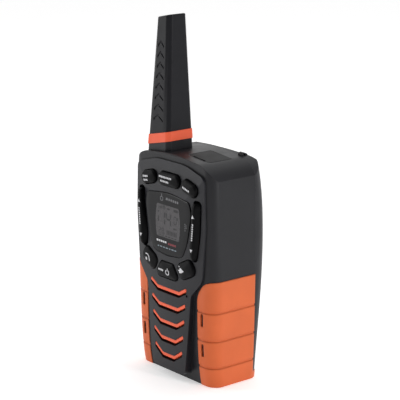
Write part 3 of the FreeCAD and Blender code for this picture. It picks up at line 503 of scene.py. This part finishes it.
def relief(name, shapes, target, looking, rise, body, slot, material=None, sink=0.12, fine=1.0):
    """Thin raised shapes on a piece, each a closed line of (a, b) as seen looking one way.

    Every point of a shape is laid on the piece, so the shape follows its curves. It stands rise
    above the surface and goes sink below it. fine is the longest edge that is left undivided.
    """
    tree = surface_of(target)
    ray = TOWARDS[looking]
    axes = ["xyz".index(axis) for axis in PLANES[looking]]
    sheet = bmesh.new()
    for shape in shapes:
        sheet.faces.new([sheet.verts.new((a, b, 0)) for a, b in shape])
    bmesh.ops.triangulate(sheet, faces=sheet.faces)
    for _ in range(HALVINGS):
        long_edges = [edge for edge in sheet.edges if edge.calc_length() > fine]
        if not long_edges:
            break
        bmesh.ops.subdivide_edges(sheet, edges=long_edges, cuts=1)
        bmesh.ops.triangulate(sheet, faces=[f for f in sheet.faces if len(f.verts) > 3])
    sheet.verts.index_update()
    tops, bottoms = [], []
    for vert in sheet.verts:
        start = -ray * START_BACK
        start[axes[0]], start[axes[1]] = vert.co.x * MM, vert.co.y * MM
        if looking == "down":
            start.z = START_HIGH
        hit = tree.ray_cast(start, ray)[0]
        if hit is None:
            raise ValueError("%s misses its surface at %s" % (name, tuple(vert.co)))
        tops.append(tuple((hit - ray * rise * MM) / MM))
        bottoms.append(tuple((hit + ray * sink * MM) / MM))
    count = len(tops)
    faces = []
    for face in sheet.faces:
        corners = [vert.index for vert in face.verts]
        faces.append(tuple(corners))
        faces.append(tuple(corner + count for corner in reversed(corners)))
    for edge in sheet.edges:
        if len(edge.link_faces) == 1:
            i, j = edge.verts[0].index, edge.verts[1].index
            faces.append((i, j, j + count, i + count))
    sheet.free()
    piece = mesh_piece(name, tops + bottoms, faces, body, slot, material)
    sharpen(piece, 40)
    return piece


def bar(a, b, wide, tall, degrees=0.0, radius=0.15):
    """A rounded dash about (a, b)."""
    radius = min(radius, tall / 2.2, wide / 2.2)
    return rounded(turned(oblong(wide, tall, radius), degrees, (a, b)), 3)


def arc(a, b, radius, angles):
    """Points on a circle about (a, b) at the angles, in radians."""
    return [(a + radius * math.cos(t), b + radius * math.sin(t)) for t in angles]


def arc_band(a, b, radius, wide, start, end, count=16):
    """Part of a ring, from one angle to another in degrees."""
    angles = [math.radians(start + (end - start) * i / count) for i in range(count + 1)]
    return arc(a, b, radius + wide / 2, angles) + arc(a, b, radius - wide / 2, angles[::-1])


def dashes(a, b, lengths, tall, gap, degrees=0.0):
    """A centred row of dashes that stands for a caption."""
    total = sum(lengths) + gap * (len(lengths) - 1)
    c, s = math.cos(math.radians(degrees)), math.sin(math.radians(degrees))
    row, along = [], -total / 2
    for length in lengths:
        middle = along + length / 2
        row.append(bar(a + middle * c, b + middle * s, length, tall, degrees))
        along += length + gap
    return row


def triangle(a, b, size, up=1):
    """An arrow head about (a, b), pointing up, or down where up is -1."""
    half = size * 0.62
    foot = b - up * half * 0.8
    return [(a - half, foot), (a + half, foot), (a, b + up * half)][::up]


# ---------------------------------------------------------------- keys and rockers

# Each key: its outline about its middle, its turn in degrees, and its middle.
KEYS = {
    "memory_button": (oblong(12.4, 7.2, 3.4), 15, (-16.3, 107.0)),
    "range_button": (oblong(17.6, 7.2, 3.4), 0, (0.6, 108.3)),
    "scan_button": (oblong(12.4, 7.2, 3.4), -15, (17.3, 106.8)),
    "call_button": (oblong(13.0, 9.0, 3.6), -27, (-15.4, 63.0)),
    "power_button": ([(-9.0, -1.6, 2.0), (-8.0, -4.5, 2.8), (8.0, -4.5, 2.8), (9.0, -1.6, 2.0),
                      (5.2, 4.5, 2.4), (-5.2, 4.5, 2.4)], 0, (-0.3, 59.1)),
    "replay_button": (oblong(13.0, 9.0, 3.6), 27, (15.0, 62.8)),
}
KEY_BACK, KEY_RIM, KEY_CROWN, KEY_EDGE = 13.0, 20.05, 0.5, 1.1
LETTERS = (0.95, 0.8, 1.05, 0.85, 0.95, 0.8, 1.0, 0.9, 0.85)  # widths of a caption's dashes
LETTER_GAP = 0.3
PRINT_RISE = 0.03


def make_keys():
    """Crowned rubber keys, each with its printed marks."""
    caps = {}
    for label, how in KEYS.items():
        caps[label] = crowned_cap(label + "_cap", turned(*how), KEY_BACK, KEY_RIM, KEY_CROWN,
                                  KEY_EDGE, label, "key_rubber", (label,))
    marks = {
        "memory_button": dashes(-17.9, 107.3, LETTERS[:4], 1.0, LETTER_GAP, 8)
        + dashes(-17.7, 105.2, LETTERS[:3], 1.0, LETTER_GAP, 8),
        "range_button": dashes(-1.2, 109.5, LETTERS, 1.0, LETTER_GAP)
        + dashes(-1.6, 107.2, LETTERS[:6], 1.0, LETTER_GAP),
        "scan_button": dashes(16.0, 106.4, LETTERS[:5], 1.05, LETTER_GAP, -14),
        "call_button": [arc_band(-17.2, 62.4, 2.4, 0.6, 0, 110),
                        bar(-17.4, 62.0, 1.5, 1.8, -10, 0.7),
                        bar(-14.7, 61.7, 0.7, 1.5, 10, 0.3)],
        "power_button": dashes(-5.2, 58.6, LETTERS[:4], 1.05, LETTER_GAP)
        + [arc_band(0.6, 58.2, 1.35, 0.5, -235, 55), bar(0.6, 59.7, 0.5, 1.6)],
        "replay_button": [[(10.2, 60.2), (12.4, 60.6), (14.6, 62.0), (12.4, 62.9), (11.2, 63.3),
                           (10.4, 62.0)],
                          arc_band(10.0, 62.6, 1.2, 0.5, 60, 290)],
    }
    for label, shapes in marks.items():
        relief(label + "_marks", shapes, caps[label], "back", PRINT_RISE, label, "white_plastic",
               PRINT_WHITE)


# Each rocker's rows from foot to top: its height, its inner edge, the crest's inner and outer
# lines, and its outer edge.
ROCKER_ROWS = [
    (68.9, 20.0, 20.3, 21.6, 22.1), (69.3, 19.3, 20.1, 21.9, 22.5), (70.4, 18.8, 19.9, 22.1, 23.0),
    (73.0, 18.4, 19.9, 22.3, 23.5), (77.0, 18.2, 20.0, 22.6, 24.1), (82.0, 19.0, 20.3, 23.0, 24.7),
    (87.0, 19.9, 20.8, 23.3, 25.0), (92.0, 20.8, 21.3, 23.6, 25.2), (96.0, 21.1, 21.5, 23.8, 25.3),
    (98.6, 21.1, 21.5, 23.8, 25.3), (99.6, 21.4, 21.7, 23.7, 25.0), (100.1, 22.0, 22.1, 23.5, 24.4),
]
ROCKER_CREST, ROCKER_SHOULDER, ROCKER_BACK = 21.15, 18.5, 14.9
# How far the crest falls at the rows next to each end, counted from the foot and from the top.
ROCKER_FALL = {0: 2.0, 1: 0.9, 2: 0.25, -3: 0.2, -2: 0.8, -1: 2.0}
ROCKER_LETTERS = (89.0, 87.8, 86.6, 85.4, 84.2, 83.0, 81.8, 80.6)


def rocker_section(row):
    """One row's closed line of (x, depth), from the inner foot over the crest to the outer foot."""
    _, inner, crest_in, crest_out, outer = ROCKER_ROWS[row]
    fall = ROCKER_FALL.get(row, ROCKER_FALL.get(row - len(ROCKER_ROWS), 0.0))
    crest, shoulder = ROCKER_CREST - fall, ROCKER_SHOULDER - fall * 0.3
    return [(inner, ROCKER_BACK), (inner, shoulder - 0.6), (inner + 0.1, shoulder),
            (crest_in - 0.3, crest - 0.35), (crest_in + 0.25, crest),
            ((crest_in + crest_out) / 2, crest + 0.04), (crest_out - 0.3, crest),
            (crest_out + 0.15, crest - 0.45), (outer - 0.15, shoulder - 0.2),
            (outer, shoulder - 0.8), (outer, ROCKER_BACK)]


def make_rockers():
    """Each rocker is a ridge: a narrow crest between a slanted and a steep flank."""
    for label, side in (("volume_rocker", -1), ("channel_rocker", 1)):
        sections = [rocker_section(row) for row in range(len(ROCKER_ROWS))]
        points = [(side * x, -depth, row[0]) for row, section in zip(ROCKER_ROWS, sections)
                  for x, depth in section]
        faces = tube_faces(len(sections[0]), len(sections))
        ridge = mesh_piece(label + "_ridge", points, faces, label, "key_rubber", None, (label,))
        smooth = ridge.modifiers.new("smooth", "SUBSURF")
        smooth.levels = smooth.render_levels = 2
        evaluated = ridge.evaluated_get(bpy.context.evaluated_depsgraph_get())
        mesh = bpy.data.meshes.new_from_object(evaluated)
        ridge.modifiers.clear()
        ridge.data = mesh
        letters = [bar(side * (22.55 - (ROCKER_LETTERS[0] - z) * 0.09), z, 0.95, 0.85)
                   for z in ROCKER_LETTERS]
        arrows = [triangle(side * 22.6, 93.1, 1.7, 1), triangle(side * 21.2, 74.7, 1.7, -1)]
        relief(label + "_marks", arrows + letters, ridge, "back", PRINT_RISE, label,
               "white_plastic", PRINT_WHITE)


# ---------------------------------------------------------------- window and display

# The right half of the window's outline, from the middle of its foot to the middle of its top.
WINDOW_RIGHT = [(0, 66.9, 30), (12.0, 68.2, 4.5), (15.9, 76.5, 30), (19.4, 93.5, 12),
                (17.4, 99.4, 2.5), (0, 101.9, 60)]
WINDOW_GAP, WINDOW_BACK, WINDOW_FRONT, WINDOW_EDGE = 0.2, 18.2, 19.42, 0.35
SCREEN = [(-9.4, 76.6, 1.2), (9.4, 76.6, 1.2), (10.6, 85.6, 30), (9.2, 94.3, 1.2),
          (-9.2, 94.3, 1.2), (-10.6, 85.6, 30)]
SCREEN_RISE, INK_RISE, LABEL_RISE = 0.03, 0.015, 0.012
FLAT = 30  # the longest edge on a flat surface, where nothing needs dividing
SEGMENTS = {"0": "abcdef", "1": "bc", "2": "abged", "4": "fgbc", "8": "abcdefg"}


def digit(symbol, a, b, tall):
    """A seven-segment numeral with its lower left corner at (a, b)."""
    wide, thick = tall * 0.5, tall * 0.14
    places = {"a": (wide / 2, tall, 0), "b": (wide, tall * 0.75, 90), "c": (wide, tall * 0.25, 90),
              "d": (wide / 2, 0, 0), "e": (0, tall * 0.25, 90), "f": (0, tall * 0.75, 90),
              "g": (wide / 2, tall / 2, 0)}
    shapes = []
    for segment in SEGMENTS[symbol]:
        x, z, degrees = places[segment]
        length = (wide if degrees == 0 else tall / 2) - thick * 0.75
        shapes.append(bar(a + x, b + z, length, thick, degrees, thick * 0.3))
    return shapes


def display_shapes():
    """The display's numerals, bars and small symbols."""
    ink = digit("1", -6.2, 83.4, 7.0) + digit("4", -1.2, 83.4, 7.0) + digit("0", 5.2, 85.4, 4.0)
    ink += digit("2", -7.6, 78.4, 3.0) + digit("8", -5.0, 78.4, 3.0)
    ink += [bar(-7.4 + 1.2 * k, 92.4 + 0.15 * k, 0.7, 0.9 + 0.3 * k) for k in range(5)]
    ink += [bar(6.6, 92.6, 3.4, 1.5, 0, 0.2), bar(8.6, 92.6, 0.4, 0.8), bar(0.6, 92.6, 2.4, 0.8),
            bar(5.9, 82.7, 3.0, 0.7), bar(-7.9, 86.0, 0.9, 3.2), bar(8.4, 88.6, 0.9, 1.6),
            bar(-7.9, 90.0, 1.2, 0.8)]
    ink += [bar(-0.6 + 1.25 * k, 79.7, 0.8, 2.4) for k in range(7)]
    return ink + [bar(-6.6 + 2.6 * k, 77.4, 1.7, 0.55) for k in range(6)]


def make_window():
    """The dark window, the display in it and the printing round the display."""
    line = rounded(both_sides(WINDOW_RIGHT), 8)
    outline = [(a, b, 0) for a, b in inset_by(line, WINDOW_GAP)]
    pane = crowned_cap("window_pane", outline, WINDOW_BACK, WINDOW_FRONT, 0.0, WINDOW_EDGE,
                       "casing", "window_glass", ("display_window",))
    screen = relief("display_screen", [rounded(SCREEN, 5)], pane, "back", SCREEN_RISE, "casing",
                    "lcd_glass", fine=FLAT)
    relief("display_ink", display_shapes(), screen, "back", INK_RISE, "casing", "black_plastic",
           LCD_INK, sink=0.02, fine=FLAT)
    ring_and_stroke = [arc_band(-5.1, 97.4, 1.1, 0.45, 0, 350), bar(-5.1, 99.4, 0.45, 1.4)]
    title = dashes(3.6, 97.7, (1.7, 1.1, 1.2, 1.1, 1.2, 1.1), 1.25, 0.6, -2)
    printing = {
        "window_mark": (PRINT_GREY, ring_and_stroke + title),
        "window_caption": (PRINT_WHITE,
                           dashes(-5.4, 74.1, (1.5, 1.2, 1.6, 1.2, 1.4), 1.05, 0.35)),
        "window_caption_red": (PRINT_RED, dashes(3.4, 73.7, (1.5, 1.2, 1.5, 1.3), 1.1, 0.35)),
        "window_caption_low": (PRINT_BLUE, dashes(-0.8, 71.1, (1.2, 1.9, 1.5, 2.0, 1.4, 1.9, 1.5),
                                                  0.65, 0.7)),
        "window_side_mark": (PRINT_GREY, [bar(14.3, 87.2 - 1.1 * k, 0.45, 0.8) for k in range(4)]
                             + [bar(15.2, 86.6 - 1.1 * k, 0.45, 0.8) for k in range(2)]),
    }
    for label, (material, shapes) in printing.items():
        relief(label, shapes, pane, "back", LABEL_RISE, "casing", "white_plastic", material,
               sink=0.05, fine=FLAT)


# ---------------------------------------------------------------- louvres

LOUVRES, LOUVRE_TALL, LOUVRE_BACK, LOUVRE_FRONT, LOUVRE_EDGE = 5, 2.1, 15.3, 19.35, 0.5


def trough(step):
    """A louvre's outline: two slanted arms and a level middle, narrower for each step down."""
    tip, bend, high = 14.9 - step * 0.85, 8.9 - step * 1.05, 52.8 - step * 8.9
    low = high - 3.4 - step * 0.3
    tall = LOUVRE_TALL
    return [(-tip, high - tall, 0.5), (-bend, low - tall, 1.2), (bend, low - tall, 1.2),
            (tip, high - tall, 0.5), (tip, high, 0.7), (bend, low, 0.8), (-bend, low, 0.8),
            (-tip, high, 0.7)]


def make_louvres():
    """The orange louvres, with rounded front edges."""
    points, faces = bevelled_slab([trough(step) for step in range(LOUVRES)], LOUVRE_BACK,
                                  LOUVRE_FRONT, LOUVRE_EDGE)
    bars = mesh_piece("louvre_bars", points, faces, "casing", "orange_plastic", None,
                      ("grille_louvres",))
    shape = bmesh.new()
    shape.from_mesh(bars.data)
    bmesh.ops.triangulate(shape, faces=[f for f in shape.faces if len(f.verts) > 4])
    shape.to_mesh(bars.data)
    shape.free()
    sharpen(bars, 50)


# ---------------------------------------------------------------- seam round the face panel

# The right half of the face panel's outline, from the middle of its foot. The top's middle is
# the run between the last point and its mirror image.
PANEL_RIGHT = [(0, 3.7, 0), (13.6, 3.7, 3.5), (16.4, 30, 300), (18.2, 49, 6), (26.3, 58.2, 9),
               (28.6, 87, 60), (27.6, 113.6, 4.5), (12, 117.8, 30)]
# The section of the dark band that paints the seam's shade: how far out from the panel's edge, and
# how far above the casing.
SEAM_SHADE_BAND = ((-0.3, -0.3), (0.0, 0.10), (0.35, 0.10), (0.6, -0.05), (0.6, -0.4), (-0.3, -0.4))


def make_seam():
    """A dark band where the face panel meets the casing: painted shade standing for the gap of the
    seam.
    """
    left = [(-a, b, r) for a, b, r in reversed(PANEL_RIGHT)][:-1]
    line = even(rounded(PANEL_RIGHT + left, 8), 1.5)
    tree = surface_of(NODES["front_case"])
    count = len(line)
    points = []
    for outwards, rise in SEAM_SHADE_BAND:
        for a, b in inset_by(line, -outwards):
            hit = tree.ray_cast(Vector((a * MM, -START_BACK, b * MM)), TOWARDS["back"])[0]
            points.append((a, hit.y / MM - rise, b))
    rings = len(SEAM_SHADE_BAND)
    faces = rings_to_faces(count, rings)
    last = (rings - 1) * count
    faces += [(last + i, last + (i + 1) % count, (i + 1) % count, i) for i in range(count)]
    # The band's dark seal-rubber colour is painted shade along the seam, not a real gasket.
    mesh_piece("panel_seam", points, faces, "casing", "seal_rubber")


# ---------------------------------------------------------------- back, sides and inside

AROUND = 28  # points round a turned solid
CELL_RADIUS = 7.2
# An AA cell's profile of (radius, height) up to its shoulder; its nub ends at the node's top.
CELL_PROFILE = [(0.01, 0), (5.6, 0), (6.7, 0.15), (7.05, 0.5), (CELL_RADIUS, 1.0),
                (CELL_RADIUS, 47.6), (7.05, 48.1), (6.6, 48.4), (3.2, 48.45), (2.75, 48.5)]
WIRE, TURNS, COIL_STEPS, WIRE_SIDES = 0.4, 4, 96, 8
COIL_FOOT, COIL_NARROWING = 4.6, 1.4
SCREW_HEAD, SCREW_HEAD_TALL, SCREW_SHANK, SCREW_RECESS = 2.5, 1.5, 1.2, 1.5
RECESS_LONG, RECESS_WIDE = 2.2, 0.5


def revolved(profile, foot, along):
    """Points and faces of a solid turned about an axis. profile is (radius, distance) pairs."""
    axis = TOWARDS[along]
    side = Vector((1, 0, 0)) if abs(axis.x) < 0.5 else Vector((0, 0, 1))
    other = axis.cross(side)
    points = []
    for radius, distance in profile:
        for i in range(AROUND):
            t = 2 * math.pi * i / AROUND
            points.append(tuple(Vector(foot) + axis * distance
                                + (side * math.cos(t) + other * math.sin(t)) * radius))
    return points, tube_faces(AROUND, len(profile))


def joined(name, shapes, body, slot, replaced=(), degrees=40):
    """One piece from several (points, faces)."""
    points, faces = [], []
    for some_points, some_faces in shapes:
        first = len(points)
        points += some_points
        faces += [tuple(first + i for i in face) for face in some_faces]
    piece = mesh_piece(name, points, faces, body, slot, None, replaced)
    sharpen(piece, degrees)
    return piece


def make_back():
    """Grip lines on the battery door, the latch, the talk button and the jack cover."""
    ribs = [bar(0, 14.0 + 4.6 * k, 35 - 0.6 * k, 1.3, 0, 0.6) for k in range(9)]
    relief("door_ribs", ribs, NODES["battery_door"], "front", 0.32, "battery_door",
           "rear_plastic", sink=0.2, fine=2.0)
    lines = [bar(0, 57.6 + 1.55 * k, 9.5, 0.7, 0, 0.3) for k in range(4)]
    relief("latch_ribs", lines, NODES["door_latch"], "front", 0.3, "door_latch",
           "black_plastic", sink=0.2, fine=2.0)
    ridges = [bar(-1.0, 78.0 + 2.2 * k, 7.4, 0.8, 0, 0.35) for k in range(10)]
    relief("talk_ribs", ridges, NODES["talk_button"], "right", 0.28, "talk_button",
           "key_rubber", sink=0.2, fine=1.5)
    lip = [bar(13.75, -9.2, 9.0, 0.9, 0, 0.4)]
    relief("jack_lip", lip, NODES["jack_cover"], "down", 0.35, "jack_cover",
           "seal_rubber", sink=0.2, fine=1.5)


def coil(x, y, foot, tall):
    """Points and faces of one spring, narrower towards its top."""
    points = []
    for i in range(COIL_STEPS + 1):
        t = i / COIL_STEPS
        angle = 2 * math.pi * TURNS * t
        radius = COIL_FOOT - COIL_NARROWING * t
        middle = Vector((x + radius * math.cos(angle), y + radius * math.sin(angle),
                         foot + WIRE + (tall - 2 * WIRE) * t))
        out = Vector((math.cos(angle), math.sin(angle), 0))
        for k in range(WIRE_SIDES):
            turn = 2 * math.pi * k / WIRE_SIDES
            points.append(tuple(middle + (out * math.cos(turn)
                                          + Vector((0, 0, 1)) * math.sin(turn)) * WIRE))
    return points, tube_faces(WIRE_SIDES, COIL_STEPS + 1)


def make_cells():
    """Three AA cells with plain jackets, and the coil springs under them."""
    low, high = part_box("battery_cells")
    pitch = ((high - low).x / MM - 2 * CELL_RADIUS) / 2
    mid_y = (low.y + high.y) / 2 / MM
    foot, tall = low.z / MM, high.z / MM - low.z / MM
    profile = CELL_PROFILE + [(2.7, tall - 0.25), (2.4, tall), (0.01, tall)]
    joined("cells", [revolved(profile, (n * pitch, mid_y, foot), "up") for n in (-1, 0, 1)],
           "casing", "cell_jacket", ("battery_cells",))
    low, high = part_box("battery_springs")
    foot, tall = low.z / MM, (high.z - low.z) / MM
    joined("coil_springs", [coil(n * pitch, mid_y, foot, tall) for n in (-1, 0, 1)],
           "casing", "spring_steel", ("battery_springs",), 80)


def make_screws():
    """Case screws with a cross recess, at the bottom of their counterbores."""
    low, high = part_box("case_screws")
    foot, top = low.y / MM, high.y / MM
    long = top - foot
    under = long - SCREW_HEAD_TALL
    profile = [(0.01, 0), (SCREW_SHANK, 0), (SCREW_SHANK, under), (SCREW_HEAD, under),
               (SCREW_HEAD, long - 0.6), (SCREW_HEAD - 0.5, long - 0.1), (SCREW_RECESS, long),
               (1.2, long - 0.6), (0.01, long - 0.7)]
    heads = []
    for x in (low.x / MM + SCREW_HEAD, high.x / MM - SCREW_HEAD):
        for z in (low.z / MM + SCREW_HEAD, high.z / MM - SCREW_HEAD):
            heads.append(revolved(profile, (x, foot, z), "back"))
            for wide, tall in ((RECESS_LONG, RECESS_WIDE), (RECESS_WIDE, RECESS_LONG)):
                line = rounded(oblong(wide, tall, 0.1), 2)
                points = [(x + a, y, z + b) for y in (top - 1.0, top - 0.35) for a, b in line]
                heads.append((points, tube_faces(len(line), 2)))
    joined("screw_heads", heads, "casing", "screw_steel", ("case_screws",), 30)


# ---------------------------------------------------------------- making everything

make_camera()
make_studio()
dress_nodes()
make_keys()
make_rockers()
make_window()
make_louvres()
make_seam()
make_back()
make_cells()
make_screws()
